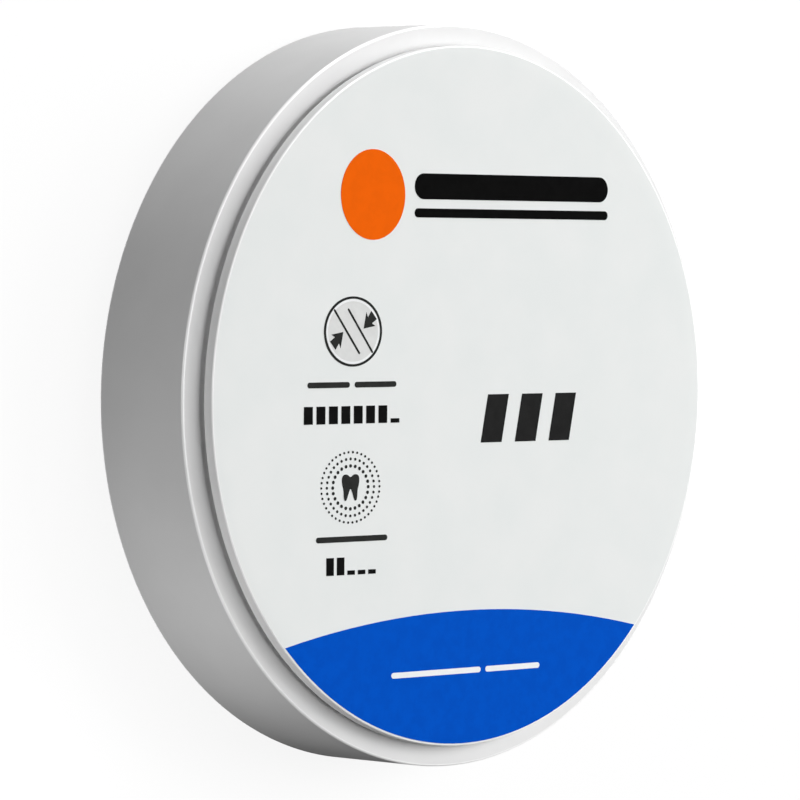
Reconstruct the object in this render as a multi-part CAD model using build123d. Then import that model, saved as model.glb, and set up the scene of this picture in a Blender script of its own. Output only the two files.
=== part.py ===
from build123d import *
import os
from math import cos, radians, sin, sqrt, tan

# Dental milling disc: one turned disc of pressed zirconia with a stepped rim, and the thin layers
# of ink printed on its raised face. It lies flat on its back.
# Millimetres. The origin is the centre of the back face, +Z goes up through the printed face
# and +Y goes towards the top of the print.

# Turned disc
collar_diameter = 98.5
collar_height = 15.6
shoulder_width = 2.9
plateau_height = 2.4
back_chamfer = 0.4
collar_chamfer = 0.3
plateau_chamfer = 0.2
relief_height = 1.0
relief_depth = 1.4
relief_dip = 0.1

# Ink, and the bare border between the print and the edge of the raised face
ink_thickness = 0.05
print_border = 0.1

# Blue field at the foot of the face: its upper edge is a long arc that bows upwards
field_arc_radius = 164.0
field_drop = 28.4

# Orange spot at the upper left
spot_diameter = 11.8
spot_angle = 124.0
spot_inset = 8.2

# Two black stripes to the right of the spot
stripe_gap = 1.8
stripe_end_inset = 8.2
upper_stripe_width = 3.4
lower_stripe_width = 1.2
stripe_spacing = 1.2

# Three leaning bars near the middle of the face
bar_centre_x = 11.9
bar_centre_y = -3.0
bar_height = 6.4
bar_width = 4.0
bar_pitch = 6.6
bar_count = 3
bar_lean = 12.0

# Worked out from the sizes above
collar_radius = collar_diameter / 2
plateau_radius = collar_radius - shoulder_width
face_height = collar_height + plateau_height
print_radius = plateau_radius - plateau_chamfer - print_border
ink_plane = Plane.XY.offset(face_height)


def zirconia_disc():
    """Half section of the disc, turned once round the Z axis.

    From the back: a small chamfer, the plain collar wall, the chamfer at its front edge,
    the flat shoulder, a turned relief that dips just below it and undercuts the raised face
    to a round bottom, the step wall above the relief and its own chamfer.
    """
    relief_low = collar_height - relief_dip
    relief_high = relief_low + relief_height
    relief_bottom = plateau_radius - relief_depth
    relief_straight = relief_bottom + relief_height / 2
    with BuildPart() as part:
        with BuildSketch(Plane.XZ):
            with BuildLine():
                Polyline(
                    (0, face_height),
                    (0, 0),
                    (collar_radius - back_chamfer, 0),
                    (collar_radius, back_chamfer),
                    (collar_radius, collar_height - collar_chamfer),
                    (collar_radius - collar_chamfer, collar_height),
                    (plateau_radius, collar_height),
                    (plateau_radius, relief_low),
                    (relief_straight, relief_low),
                )
                ThreePointArc(
                    (relief_straight, relief_low),
                    (relief_bottom, relief_low + relief_height / 2),
                    (relief_straight, relief_high),
                )
                Polyline(
                    (relief_straight, relief_high),
                    (plateau_radius, relief_high),
                    (plateau_radius, face_height - plateau_chamfer),
                    (plateau_radius - plateau_chamfer, face_height),
                    (0, face_height),
                )
            make_face()
        revolve(axis=Axis.Z)
    return part.part


def blue_field():
    """Ink over the part of the print circle that lies below the long arc."""
    arc_centre_y = -(field_drop + field_arc_radius)
    with BuildPart() as part:
        with BuildSketch(ink_plane):
            Circle(print_radius)
            with Locations((0, arc_centre_y)):
                Circle(field_arc_radius, mode=Mode.INTERSECT)
        extrude(amount=ink_thickness)
    return part.part


def spot_centre():
    """The spot sits inside the print circle by its inset, at its own angle from +X."""
    reach = print_radius - spot_inset - spot_diameter / 2
    return reach * cos(radians(spot_angle)), reach * sin(radians(spot_angle))


def orange_spot():
    """One round spot of ink."""
    with BuildPart() as part:
        with BuildSketch(ink_plane):
            with Locations(spot_centre()):
                Circle(spot_diameter / 2)
        extrude(amount=ink_thickness)
    return part.part


def black_stripes():
    """A thick stripe over a thin one, with round ends, centred on the spot's height.

    They start a gap to the right of the spot and end an inset short of the print circle.
    """
    spot_x, spot_y = spot_centre()
    block_height = upper_stripe_width + stripe_spacing + lower_stripe_width
    top = spot_y + block_height / 2
    start = spot_x + spot_diameter / 2 + stripe_gap
    end = sqrt(print_radius**2 - top**2) - stripe_end_inset
    with BuildPart() as part:
        with BuildSketch(ink_plane):
            with Locations(((start + end) / 2, top - upper_stripe_width / 2)):
                SlotOverall(end - start, upper_stripe_width)
            with Locations(((start + end) / 2, top - block_height + lower_stripe_width / 2)):
                SlotOverall(end - start, lower_stripe_width)
        extrude(amount=ink_thickness)
    return part.part


def leaning_bars():
    """A row of equal parallelograms that lean to the right, centred on their own point."""
    shift = bar_height * tan(radians(bar_lean)) / 2
    half_width = bar_width / 2
    half_height = bar_height / 2
    outline = [
        (-half_width - shift, -half_height),
        (half_width - shift, -half_height),
        (half_width + shift, half_height),
        (-half_width + shift, half_height),
    ]
    with BuildPart() as part:
        with BuildSketch(ink_plane):
            with Locations((bar_centre_x, bar_centre_y)):
                with GridLocations(bar_pitch, bar_height, bar_count, 1):
                    Polygon(outline)
        extrude(amount=ink_thickness)
    return part.part


pieces = {
    "zirconia_disc": zirconia_disc(),
    "blue_field": blue_field(),
    "orange_spot": orange_spot(),
    "black_stripes": black_stripes(),
    "leaning_bars": leaning_bars(),
}

os.makedirs("parts", exist_ok=True)
for name, shape in pieces.items():
    export_step(shape, f"parts/{name}.step")
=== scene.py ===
import math

import bpy
import numpy as np
from mathutils import Matrix, Vector


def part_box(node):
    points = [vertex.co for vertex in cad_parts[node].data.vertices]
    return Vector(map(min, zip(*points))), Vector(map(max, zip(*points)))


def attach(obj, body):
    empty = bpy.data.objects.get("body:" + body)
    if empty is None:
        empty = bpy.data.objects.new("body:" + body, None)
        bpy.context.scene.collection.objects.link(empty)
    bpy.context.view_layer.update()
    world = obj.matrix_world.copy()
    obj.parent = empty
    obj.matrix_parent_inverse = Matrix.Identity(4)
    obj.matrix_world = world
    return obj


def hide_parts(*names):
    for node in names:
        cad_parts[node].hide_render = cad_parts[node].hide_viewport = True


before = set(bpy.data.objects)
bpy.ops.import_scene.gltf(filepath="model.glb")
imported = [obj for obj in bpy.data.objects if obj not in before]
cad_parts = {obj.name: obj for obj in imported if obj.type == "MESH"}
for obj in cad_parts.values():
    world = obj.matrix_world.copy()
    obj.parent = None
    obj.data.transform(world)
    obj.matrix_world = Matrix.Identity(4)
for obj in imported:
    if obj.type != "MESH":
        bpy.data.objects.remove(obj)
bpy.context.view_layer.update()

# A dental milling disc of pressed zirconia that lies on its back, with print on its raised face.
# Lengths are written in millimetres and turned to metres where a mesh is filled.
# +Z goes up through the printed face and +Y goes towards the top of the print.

MM = 0.001

# Turned disc, as the part has it; the overall size comes from its box
COLLAR_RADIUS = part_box("zirconia_disc")[1].x / MM
FACE_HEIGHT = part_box("zirconia_disc")[1].z / MM
PLATEAU_RADIUS = 46.35
PLATEAU_HEIGHT = 2.4
SHOULDER_HEIGHT = FACE_HEIGHT - PLATEAU_HEIGHT
RELIEF_HEIGHT = 1.0
RELIEF_DEPTH = 1.4
RELIEF_DIP = 0.1

# Radius of the rounding on each edge of the disc, and on the lips of the relief
BACK_EDGE = 0.4
COLLAR_EDGE = 0.3
PLATEAU_EDGE = 0.2
LIP = 0.04

# Mesh of the disc: steps in a rounding and round the axis, rings of points on the flat back and face
# in shares of their radius, and the angle in degrees from which an edge looks sharp
EDGE_STEPS = 8
TURN_STEPS = 720
FLAT_RINGS = np.array((0.25, 0.5, 0.75, 0.95))
SHARP_ANGLE = 35.0

# Finishes of the disc, in the order of its material slots
TURNED, FACE, EDGE = range(3)

# Zirconia, with widths and heights in millimetres. Its granules are about 0.05 mm wide, and are drawn
# 0.25 mm wide so that they show.
ZIRCONIA_IOR = 2.15
CLOUD_WIDTH = 9.0
GRAIN_WIDTH = 0.25
GRAIN_HEIGHT = 0.02
ROUGHNESS_DRIFT = 0.04

# Ink, with the width of its mottle in millimetres
INK_IOR = 1.45
INK_ROUGHNESS = 0.6
INK_SPECULAR = 0.01
MOTTLE_WIDTH = 2.0

# Thickness of the ink, and the tops of most inks, of the pale ones that lie lower in the upper sign,
# and of the white one that is printed over the blue field
INK = 0.05
OVERPRINT = 0.01
INK_TOP = FACE_HEIGHT + INK
LOW_INK_TOP = FACE_HEIGHT + INK / 2
OVERPRINT_TOP = INK_TOP + OVERPRINT

# Both signs are printed a little wider than high
OVAL = np.array((1.08, 0.93))
OVAL_STEPS = 96

# Upper sign: two slanting lines pressed by two arrows, on a pale field with a white rim, in a thin
# circle. The lines' ends and the arrows' tips are in shares of the circle's radius, with each arrow's
# heading in degrees from +X. The arrow's outline starts at its tip, in shares of the same radius.
PRESS_CENTRE = (-21.4, 8.7)
PRESS_RADIUS = 4.9
PRESS_CIRCLE_WIDTH = 0.34
PRESS_LINE_WIDTH = 0.31
PRESS_FIELD_SHARE = 0.86
PRESS_RIM_SHARE = 0.92
PRESS_LINES = (((-0.66, 0.63), (0.23, -0.64)), ((-0.18, 0.65), (0.68, -0.61)))
PRESS_ARROWS = (((-0.34, -0.01), 43), ((0.36, 0.08), 223))
ARROW_OUTLINE = (
    (0.0, 0.0), (-0.37, 0.25), (-0.32, 0.11), (-0.53, 0.15),
    (-0.53, -0.15), (-0.32, -0.11), (-0.37, -0.25),
)

# Lower sign: a plain molar in three rings of dots (radius, number and size of a dot). The right half
# of the molar's outline runs from the middle of its crown to the fork of its roots, in shares of half
# its size.
RINGS_CENTRE = (-21.7, -11.5)
DOT_RINGS = ((3.0, 24, 0.47), (3.98, 32, 0.38), (4.92, 42, 0.33))
DOT_STEPS = 14
MOLAR_SIZE = (3.1, 3.4)
MOLAR_HALF = (
    (0.0, 0.72), (0.42, 1.04), (1.0, 0.92), (1.02, 0.3), (0.8, -0.2),
    (0.78, -0.95), (0.5, -1.08), (0.2, -0.35), (0.0, -0.05),
)
MOLAR_PASSES = 3

# Thin rules: left end, right end, Y, and the shares of the lengths that the rule is cut into
RULE_WIDTH = 0.75
RULE_GAP = RULE_WIDTH * 1.2
DARK_RULES = ((-29.6, -13.4, 1.8, (8, 8)), (-27.9, -14.9, -18.2, (12,)))
WHITE_RULE = (-14.0, 14.3, -36.4, (8, 5))

# Scales of upright blocks: left end, right end, Y, number of blocks and how many are full. A block's
# width is a share of the pitch, and a low block's height is a share of a full one's.
BLOCK_HEIGHT = 2.3
BLOCK_WIDTH_SHARE = 0.7
LOW_BLOCK_SHARE = 0.25
SCALES = ((-30.2, -12.8, -2.1, 8, 7), (-26.0, -17.0, -21.7, 5, 2))

# Camera, fitted to the outlines of the collar and the raised face in an 800 by 800 frame.
# The angles are in degrees, the clip distances in metres and the rest in millimetres.
CAMERA_AIM = (-3.57, -0.66, 9.0)
CAMERA_AZIMUTH = -92.22
CAMERA_ELEVATION = 44.67
CAMERA_DISTANCE = 685.2
CAMERA_ROLL = 91.93
CAMERA_LENS = 231.36
CAMERA_SENSOR = 36.0
CAMERA_CLIPS = (0.01, 100.0)

# Lamps: azimuth and elevation of the place they shine from, distance and size in metres, and level,
# where a level of 1 shows a surface that faces the lamp at the disc's middle in its own colour.
# The low ones shine along the collar wall and give it its run of greys.
LAMPS = {
    "right": (102.0, 35.0, 2.0, 1.2, 0.72),
    "right_high": (127.0, 62.0, 2.0, 1.0, 0.31),
    "overhead": (0.0, 89.5, 2.0, 1.0, 0.325),
    "print_top": (180.0, 12.0, 1.0, 0.3, 0.12),
    "wall_top": (180.0, 1.5, 0.15, 0.02, 0.285),
    "wall_left": (-98.0, 1.5, 0.35, 0.03, 0.19),
    "wall_low": (-52.0, 1.0, 0.1, 0.02, 0.083),
}

# Sky and floor, as linear levels where 1 is white. The floor throws little light back on the disc.
# Where it is seen it glows, and a share of it takes light and shadow. It reaches so many metres from
# the disc to each side, and lies so many millimetres below it.
WHITE = (1.0, 1.0, 1.0, 1.0)
SKY_LEVEL = 0.03
FLOOR_LEVEL = 0.06
FLOOR_SHADE = 0.12
FLOOR_REACH = 4.0
FLOOR_DROP = 0.02


def linear(code):
    """An sRGB hex colour as linear red, green, blue and 1 for alpha."""
    parts = [int(code[i : i + 2], 16) / 255 for i in (1, 3, 5)]
    return (*[c / 12.92 if c <= 0.04045 else ((c + 0.055) / 1.055) ** 2.4 for c in parts], 1.0)


def grey(level):
    """A linear grey of that level, with 1 for alpha."""
    return (level, level, level, 1.0)


def empty_tree(owner):
    """Turns on the nodes of a material or a world and clears them."""
    owner.use_nodes = True
    owner.node_tree.nodes.clear()
    return owner.node_tree


def put(tree, kind, settings=None, links=None):
    """Adds one node, with settings for its properties or sockets, and links by socket name or number."""
    node = tree.nodes.new(kind)
    for key, value in (settings or {}).items():
        if key in node.inputs and not hasattr(node, key):
            node.inputs[key].default_value = value
        else:
            setattr(node, key, value)
    for key, source in (links or {}).items():
        tree.links.new(source, node.inputs[key])
    return node


def noise_scale(width):
    """Texture scale for a pattern whose cells are that many millimetres wide."""
    return 1 / width / MM


def two_tones(tree, place, width, detail, roughness, spread, tones):
    """A colour that drifts between a light and a dark tone, in patches of that width in millimetres.

    The noise turns the dark tone into the light one between 0.5 - spread and 0.5 + spread.
    """
    noise = put(
        tree, "ShaderNodeTexNoise",
        {"Scale": noise_scale(width), "Detail": detail, "Roughness": roughness},
        {"Vector": place},
    )
    ramp = put(tree, "ShaderNodeValToRGB", links={"Fac": noise.outputs["Fac"]})
    light, dark = tones
    low, high = ramp.color_ramp.elements
    low.position = 0.5 - spread
    low.color = linear(dark)
    high.position = 0.5 + spread
    high.color = linear(light)
    return ramp.outputs["Color"]


def powder_grain(tree, place, strength):
    """The grain of the pressed powder: its height from 0 to 1, and the bump that it gives."""
    grain = put(
        tree, "ShaderNodeTexNoise",
        {"Scale": noise_scale(GRAIN_WIDTH), "Detail": 2.0, "Roughness": 0.6},
        {"Vector": place},
    )
    height = grain.outputs["Fac"]
    bump = put(
        tree, "ShaderNodeBump",
        {"Strength": strength, "Distance": GRAIN_HEIGHT * MM},
        {"Height": height},
    )
    return height, bump.outputs["Normal"]


def new_material(name):
    """A material with an empty tree, and the Object coordinates that its patterns follow."""
    material = bpy.data.materials.new(name)
    tree = empty_tree(material)
    return material, tree, put(tree, "ShaderNodeTexCoord").outputs["Object"]


# Zirconia powder, pressed and fired soft, then turned: chalky, dead matt and white. It shows cloudy
# patches a few millimetres wide and a fine powder grain, and its roughness drifts with the grain,
# whose height lies mostly between 0.3 and 0.7.
def pressed_zirconia(name, tones, roughness=0.86, specular=0.005):
    material, tree, place = new_material(name)
    colour = two_tones(tree, place, CLOUD_WIDTH, detail=3.0, roughness=0.5, spread=0.15, tones=tones)
    height, normal = powder_grain(tree, place, strength=0.12)
    rough = put(
        tree, "ShaderNodeMapRange",
        {
            "From Min": 0.3, "From Max": 0.7,
            "To Min": roughness - ROUGHNESS_DRIFT, "To Max": roughness + ROUGHNESS_DRIFT,
        },
        {"Value": height},
    )
    shader = put(
        tree, "ShaderNodeBsdfPrincipled",
        {"IOR": ZIRCONIA_IOR, "Specular IOR Level": specular},
        {"Base Color": colour, "Roughness": rough.outputs["Result"], "Normal": normal},
    )
    put(tree, "ShaderNodeOutputMaterial", links={"Surface": shader.outputs["BSDF"]})
    return material


# Pad-printed ink, satin, a few hundredths thick: it lets the powder grain show through
def printed_ink(name, tones):
    material, tree, place = new_material(name)
    colour = two_tones(tree, place, MOTTLE_WIDTH, detail=4.0, roughness=0.6, spread=0.1, tones=tones)
    _, normal = powder_grain(tree, place, strength=0.08)
    shader = put(
        tree, "ShaderNodeBsdfPrincipled",
        {"Roughness": INK_ROUGHNESS, "IOR": INK_IOR, "Specular IOR Level": INK_SPECULAR},
        {"Base Color": colour, "Normal": normal},
    )
    put(tree, "ShaderNodeOutputMaterial", links={"Surface": shader.outputs["BSDF"]})
    return material


def fill_mesh(name, vertices, faces, material):
    """Makes one piece of the object from vertices in millimetres, and lets it ride on the body."""
    mesh = bpy.data.meshes.new(name)
    mesh.from_pydata((np.asarray(vertices) * MM).tolist(), [], faces)
    mesh.update()
    piece = bpy.data.objects.new(name, mesh)
    bpy.context.scene.collection.objects.link(piece)
    mesh.materials.append(material)
    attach(piece, "root")
    return piece


def arc(centre, radius, start, sweep):
    """Points (r, z) of an arc: centre + radius (cos a, sin a), with a from start to start + sweep."""
    t = np.radians(start + sweep * np.linspace(0.0, 1.0, EDGE_STEPS + 1))
    return np.column_stack((centre[0] + radius * np.cos(t), centre[1] + radius * np.sin(t)))


def disc_profile():
    """Half section of the disc as (r, z) points, from the middle of the back to the middle of the face.

    Each edge is a quarter circle, and the relief under the face ends in a half circle. A stretch says
    which finish it has and which follows it. The second result is the finish that starts at each point.
    """
    low = SHOULDER_HEIGHT - RELIEF_DIP
    half = RELIEF_HEIGHT / 2
    back_edge = (COLLAR_RADIUS - BACK_EDGE, BACK_EDGE)
    collar_edge = (COLLAR_RADIUS - COLLAR_EDGE, SHOULDER_HEIGHT - COLLAR_EDGE)
    lower_lip = (PLATEAU_RADIUS + LIP, SHOULDER_HEIGHT - LIP)
    relief = (PLATEAU_RADIUS - RELIEF_DEPTH + half, low + half)
    upper_lip = (PLATEAU_RADIUS - LIP, low + RELIEF_HEIGHT + LIP)
    plateau_edge = (PLATEAU_RADIUS - PLATEAU_EDGE, FACE_HEIGHT - PLATEAU_EDGE)
    back = np.column_stack((COLLAR_RADIUS * FLAT_RINGS, np.zeros_like(FLAT_RINGS)))
    face = np.column_stack((PLATEAU_RADIUS * FLAT_RINGS[::-1], np.full_like(FLAT_RINGS, FACE_HEIGHT)))
    stretches = (
        (TURNED, TURNED, back),
        (EDGE, TURNED, arc(back_edge, BACK_EDGE, -90, 90)),
        (EDGE, TURNED, arc(collar_edge, COLLAR_EDGE, 0, 90)),
        (TURNED, TURNED, arc(lower_lip, LIP, 90, 90)),
        (TURNED, TURNED, np.array([[PLATEAU_RADIUS, low]])),
        (TURNED, TURNED, arc(relief, half, -90, -180)),
        (TURNED, TURNED, arc(upper_lip, LIP, -90, 90)),
        (EDGE, FACE, arc(plateau_edge, PLATEAU_EDGE, 0, 90)),
        (FACE, FACE, face),
    )
    finishes = [[within] * (len(points) - 1) + [after] for within, after, points in stretches]
    return np.vstack([points for _, _, points in stretches]), np.concatenate(finishes)


def turned_disc(materials):
    """The profile turned round Z: point (i, j) is (r_i cos a_j, r_i sin a_j, z_i).

    The grid closes on itself round the axis, and a fan closes the back and the face. The materials
    are in the order TURNED, FACE, EDGE, and a ring of faces takes the finish at its profile point.
    """
    profile, finish = disc_profile()
    rows = len(profile)
    angle = np.arange(TURN_STEPS) * 2 * math.pi / TURN_STEPS
    ring = np.stack((np.cos(angle), np.sin(angle)), axis=-1)
    grid = np.empty((rows, TURN_STEPS, 3))
    grid[..., :2] = profile[:, None, :1] * ring[None]
    grid[..., 2] = profile[:, None, 1]
    vertices = np.vstack((grid.reshape(-1, 3), [[0, 0, 0], [0, 0, FACE_HEIGHT]]))
    i, j = np.meshgrid(np.arange(rows - 1), np.arange(TURN_STEPS), indexing="ij")
    k = (j + 1) % TURN_STEPS
    here, above = i * TURN_STEPS, (i + 1) * TURN_STEPS
    quads = np.stack((here + j, here + k, above + k, above + j), axis=-1).reshape(-1, 4)
    step = np.arange(TURN_STEPS)
    after = (step + 1) % TURN_STEPS
    back_pole = rows * TURN_STEPS
    face_pole = back_pole + 1
    last_row = back_pole - TURN_STEPS
    back = np.column_stack((np.full(TURN_STEPS, back_pole), after, step))
    face = np.column_stack((np.full(TURN_STEPS, face_pole), last_row + step, last_row + after))
    faces = quads.tolist() + back.tolist() + face.tolist()
    piece = fill_mesh("turned_disc", vertices, faces, materials[0])
    for material in materials[1:]:
        piece.data.materials.append(material)
    of_each_face = np.repeat(np.append(finish[:-1], (TURNED, FACE)), TURN_STEPS).astype(np.int32)
    piece.data.polygons.foreach_set("material_index", of_each_face)
    piece.data.shade_smooth()
    piece.data.set_sharp_from_angle(angle=math.radians(SHARP_ANGLE))
    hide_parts("zirconia_disc")


def round_loop(centre, radii, steps):
    """Closed loop, anticlockwise: centre + radii (cos a, sin a), where two radii make an oval."""
    a = np.arange(steps) * 2 * math.pi / steps
    return np.array(centre) + radii * np.column_stack((np.cos(a), np.sin(a)))


def bar_loop(start, end, width):
    """A straight bar with half-round ends: a half circle round the end, then one round the start."""
    start, end = np.array(start, float), np.array(end, float)
    heading = math.atan2(*(end - start)[::-1])
    a = heading + np.linspace(-math.pi / 2, math.pi / 2, EDGE_STEPS + 1)
    cap = np.column_stack((np.cos(a), np.sin(a))) * width / 2
    inset = (end - start) / np.linalg.norm(end - start) * width / 2
    return np.vstack((end - inset + cap, start + inset - cap))


def box_loop(low, high):
    """A rectangle from its low to its high corner, anticlockwise."""
    return np.array([low, (high[0], low[1]), high, (low[0], high[1])], float)


def arrow_loop(tip, heading):
    """A short arrow, a wide head on a stub: its outline, turned to its heading and moved to its tip."""
    c, s = math.cos(math.radians(heading)), math.sin(math.radians(heading))
    outline = np.array(ARROW_OUTLINE) * PRESS_RADIUS
    return outline @ np.array([[c, s], [-s, c]]) + np.array(tip)


def molar_loop():
    """A plain molar: half an outline, mirrored, with its corners cut.

    Each pass of the corner cutting puts points at 1/4 and 3/4 of every side and drops the corners.
    """
    right = np.array(MOLAR_HALF)
    left = right[-2:0:-1] * (-1, 1)
    loop = np.vstack((right[::-1], left[::-1]))
    for _ in range(MOLAR_PASSES):
        after = np.roll(loop, -1, axis=0)
        near, far = 0.75 * loop + 0.25 * after, 0.25 * loop + 0.75 * after
        loop = np.stack((near, far), axis=1).reshape(-1, 2)
    return np.array(RINGS_CENTRE) + loop * np.array(MOLAR_SIZE) / 2


def press_loops():
    """Two parallel lines at a slant, and two arrows that press on them from both sides."""
    centre, reach = np.array(PRESS_CENTRE), PRESS_RADIUS * OVAL
    lines = [bar_loop(*(centre + reach * np.array(ends)), PRESS_LINE_WIDTH) for ends in PRESS_LINES]
    return lines + [arrow_loop(centre + reach * np.array(tip), heading) for tip, heading in PRESS_ARROWS]


def dot_loops():
    """The dots of the three rings, evenly spaced round each."""
    return [
        round_loop(dot, size / 2, DOT_STEPS)
        for radius, count, size in DOT_RINGS
        for dot in round_loop(RINGS_CENTRE, radius * OVAL, count)
    ]


def rule_loops(left, right, y, shares):
    """A thin rule from left to right, cut into lengths in those shares with a small gap between."""
    unit = (right - left - RULE_GAP * (len(shares) - 1)) / sum(shares)
    loops, x = [], left
    for share in shares:
        loops.append(bar_loop((x, y), (x + share * unit, y), RULE_WIDTH))
        x += share * unit + RULE_GAP
    return loops


def scale_loops(left, right, y, count, full):
    """A row of equal upright blocks as a level scale, where the ones past the full count are low."""
    pitch = (right - left) / (count - 1 + BLOCK_WIDTH_SHARE)
    base = y - BLOCK_HEIGHT / 2
    loops = []
    for i in range(count):
        x = left + i * pitch
        height = BLOCK_HEIGHT if i < full else BLOCK_HEIGHT * LOW_BLOCK_SHARE
        loops.append(box_loop((x, base), (x + BLOCK_WIDTH_SHARE * pitch, base + height)))
    return loops


def ink_prism(loop, top):
    """Points and faces of one patch of ink on the face: a bottom, a top and a wall round it."""
    n = len(loop)
    points = np.vstack([np.column_stack((loop, np.full(n, z))) for z in (FACE_HEIGHT, top)])
    step = np.arange(n)
    after = (step + 1) % n
    wall = np.column_stack((step, after, after + n, step + n))
    return points, [step[::-1].tolist(), (n + step).tolist()] + wall.tolist()


def ink_ring(centre, inner, outer, top):
    """Points and faces of a flat ring of ink: four ovals, joined by quads into a closed band."""
    n = OVAL_STEPS
    corners = ((inner, FACE_HEIGHT), (outer, FACE_HEIGHT), (outer, top), (inner, top))
    ovals = [np.column_stack((round_loop(centre, r * OVAL, n), np.full(n, z))) for r, z in corners]
    step = np.arange(n)
    after = (step + 1) % n
    faces = []
    for row in range(4):
        a, b = row * n, (row + 1) % 4 * n
        faces += np.column_stack((a + step, b + step, b + after, a + after)).tolist()
    return np.vstack(ovals), faces


def marks(name, loops, rings, ink, top=INK_TOP):
    """One piece that holds all the marks printed in one ink, from the face up to top."""
    vertices, faces, first = [], [], 0
    shapes = [ink_prism(loop, top) for loop in loops] + [ink_ring(*ring, top) for ring in rings]
    for points, sides in shapes:
        vertices.append(points)
        faces += [[first + corner for corner in side] for side in sides]
        first += len(points)
    fill_mesh(name, np.vstack(vertices), faces, ink)


def printed_marks():
    """The small marks: both signs, the rules and scales under them, and the rule on the blue field."""
    dark = printed_ink("dark_grey_ink", ("#2F302F", "#2A2B2A"))
    black = printed_ink("fine_black_ink", ("#101010", "#0B0B0B"))
    pale = printed_ink("pale_grey_ink", ("#DEDFDE", "#D9DAD9"))
    white = printed_ink("white_ink", ("#F3F4F5", "#EFF0F1"))
    signs = press_loops() + dot_loops() + [molar_loop()]
    rules = [loop for rule in DARK_RULES for loop in rule_loops(*rule)]
    blocks = [loop for scale in SCALES for loop in scale_loops(*scale)]
    circle = (PRESS_CENTRE, PRESS_RADIUS - PRESS_CIRCLE_WIDTH, PRESS_RADIUS)
    field, rim = PRESS_RADIUS * PRESS_FIELD_SHARE, PRESS_RADIUS * PRESS_RIM_SHARE
    field_loop = round_loop(PRESS_CENTRE, field * OVAL, OVAL_STEPS)
    marks("dark_marks", signs + rules, [circle], dark)
    marks("black_scales", blocks, [], black)
    marks("pale_fill", [field_loop], [], pale, LOW_INK_TOP)
    marks("white_rim", [], [(PRESS_CENTRE, field, rim)], white, LOW_INK_TOP)
    marks("white_marks", rule_loops(*WHITE_RULE), [], white, OVERPRINT_TOP)


def ink_on_cad_nodes():
    """Gives each printed CAD node its ink."""
    inks = {
        "blue_field": printed_ink("blue_ink", ("#0053C5", "#004FBF")),
        "orange_spot": printed_ink("orange_ink", ("#F26406", "#EE6206")),
        "black_stripes": printed_ink("black_ink", ("#070707", "#040404")),
        "leaning_bars": printed_ink("grey_ink", ("#252525", "#212121")),
    }
    for name, ink in inks.items():
        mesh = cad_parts[name].data
        mesh.materials.clear()
        mesh.materials.append(ink)


def direction(azimuth, elevation):
    """Unit vector towards a place seen at that azimuth and elevation; azimuth 0 is -Y and 90 is +X."""
    a, e = math.radians(azimuth), math.radians(elevation)
    return Vector((math.sin(a) * math.cos(e), -math.cos(a) * math.cos(e), math.sin(e)))


def facing(back, roll=0.0):
    """Rotation whose Z axis is back and whose X axis is level, then turned by roll about Z."""
    right = Vector((0, 0, 1)).cross(back).normalized()
    up = back.cross(right)
    turn = Matrix((right, up, back)).transposed()
    return (turn @ Matrix.Rotation(math.radians(roll), 3, "Z")).to_4x4()


def set_camera():
    """The camera looks at its aim from its azimuth and elevation, rolled so that +Y points up."""
    data = bpy.data.cameras.new("camera")
    camera = bpy.data.objects.new("camera", data)
    bpy.context.scene.collection.objects.link(camera)
    back = direction(CAMERA_AZIMUTH, CAMERA_ELEVATION)
    place = (Vector(CAMERA_AIM) + back * CAMERA_DISTANCE) * MM
    camera.matrix_world = Matrix.Translation(place) @ facing(back, CAMERA_ROLL)
    data.lens = CAMERA_LENS
    data.sensor_width = CAMERA_SENSOR
    data.clip_start, data.clip_end = CAMERA_CLIPS
    bpy.context.scene.camera = camera


def set_lamps():
    """Square lamps round the disc, each aimed at its middle and itself unseen by the camera.

    A lamp of P watts at a distance d gives a level of P / (pi d)^2.
    """
    middle = Vector((0, 0, FACE_HEIGHT / 2 * MM))
    for name, (azimuth, elevation, distance, size, level) in LAMPS.items():
        data = bpy.data.lights.new(name, "AREA")
        data.size = size
        data.energy = level * math.pi**2 * distance**2
        lamp = bpy.data.objects.new(name, data)
        lamp.visible_camera = False
        bpy.context.scene.collection.objects.link(lamp)
        back = direction(azimuth, elevation)
        lamp.matrix_world = Matrix.Translation(middle + back * distance) @ facing(back)


def direct_view(tree):
    """1 for a ray from the camera, a gloss or a clear material, and 0 for soft light."""
    path = put(tree, "ShaderNodeLightPath").outputs
    shiny = put(
        tree, "ShaderNodeMath", {"operation": "MAXIMUM"},
        {0: path["Is Camera Ray"], 1: path["Is Glossy Ray"]},
    )
    clear = put(
        tree, "ShaderNodeMath", {"operation": "MAXIMUM"},
        {0: shiny.outputs[0], 1: path["Is Transmission Ray"]},
    )
    return clear.outputs[0]


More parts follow.
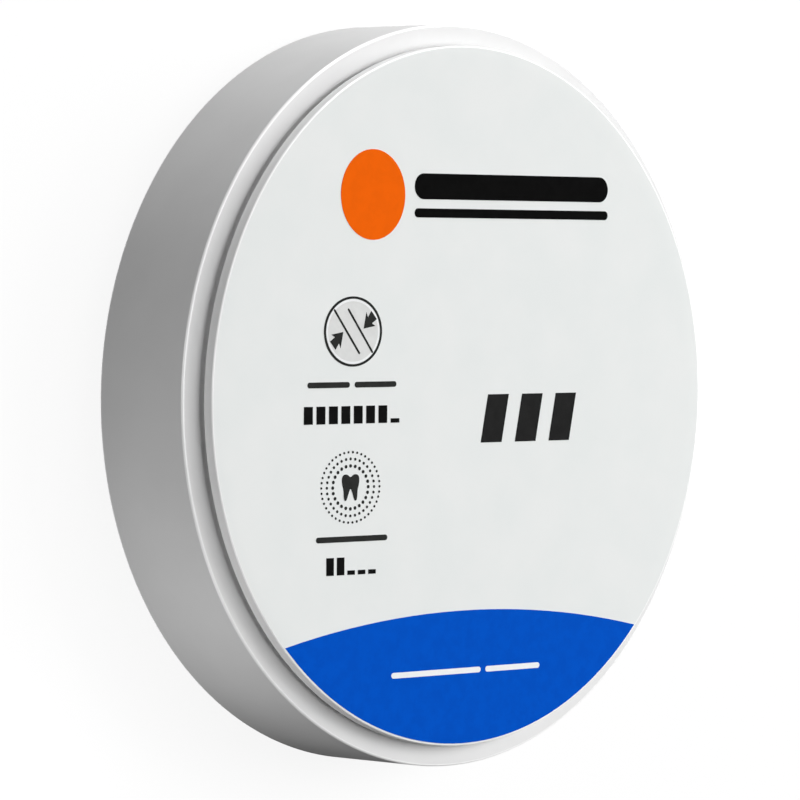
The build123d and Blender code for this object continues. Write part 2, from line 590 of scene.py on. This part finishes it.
def set_sky():
    """A sky that gives the disc a little even light, and is white where it is seen."""
    world = bpy.data.worlds.new("sky")
    bpy.context.scene.world = world
    tree = empty_tree(world)
    soft = put(tree, "ShaderNodeBackground", {"Color": WHITE, "Strength": SKY_LEVEL})
    white = put(tree, "ShaderNodeBackground", {"Color": WHITE, "Strength": 1.0})
    mix = put(
        tree, "ShaderNodeMixShader",
        links={"Fac": direct_view(tree), 1: soft.outputs[0], 2: white.outputs[0]},
    )
    put(tree, "ShaderNodeOutputWorld", links={"Surface": mix.outputs[0]})


def set_floor():
    """A wide pale floor: white where it is lit, with the disc's soft shadow on it."""
    material = bpy.data.materials.new("floor")
    tree = empty_tree(material)
    soft = put(tree, "ShaderNodeBsdfDiffuse", {"Color": grey(FLOOR_LEVEL)})
    shade = put(tree, "ShaderNodeBsdfDiffuse", {"Color": grey(FLOOR_SHADE)})
    glow = put(tree, "ShaderNodeEmission", {"Color": WHITE, "Strength": 1 - FLOOR_SHADE})
    seen = put(tree, "ShaderNodeAddShader", links={0: shade.outputs[0], 1: glow.outputs[0]})
    mix = put(
        tree, "ShaderNodeMixShader",
        links={"Fac": direct_view(tree), 1: soft.outputs[0], 2: seen.outputs[0]},
    )
    put(tree, "ShaderNodeOutputMaterial", links={"Surface": mix.outputs[0]})
    square = box_loop((-FLOOR_REACH, -FLOOR_REACH), (FLOOR_REACH, FLOOR_REACH))
    mesh = bpy.data.meshes.new("floor")
    mesh.from_pydata([(x, y, -FLOOR_DROP * MM) for x, y in square.tolist()], [], [(0, 1, 2, 3)])
    mesh.materials.append(material)
    floor = bpy.data.objects.new("floor", mesh)
    bpy.context.scene.collection.objects.link(floor)


# The wall and shoulder keep the lathe's matt finish and the face is ground flat. The rounded edges
# are glossier, and their paler tone is a painted highlight that makes them catch the light
turned_disc((
    pressed_zirconia("turned_zirconia", ("#E9E9E9", "#E6E6E6")),
    pressed_zirconia("ground_zirconia", ("#EAECEB", "#E7EAE9")),
    # Edges: the paler tones are a painted highlight; the lower roughness and higher specular are real
    # gloss
    pressed_zirconia("burnished_zirconia", ("#F8F8F8", "#F5F5F5"), roughness=0.35, specular=0.3),
))
ink_on_cad_nodes()
printed_marks()
set_floor()
set_lamps()
set_sky()
set_camera()
bpy.context.scene.view_settings.view_transform = "Standard"
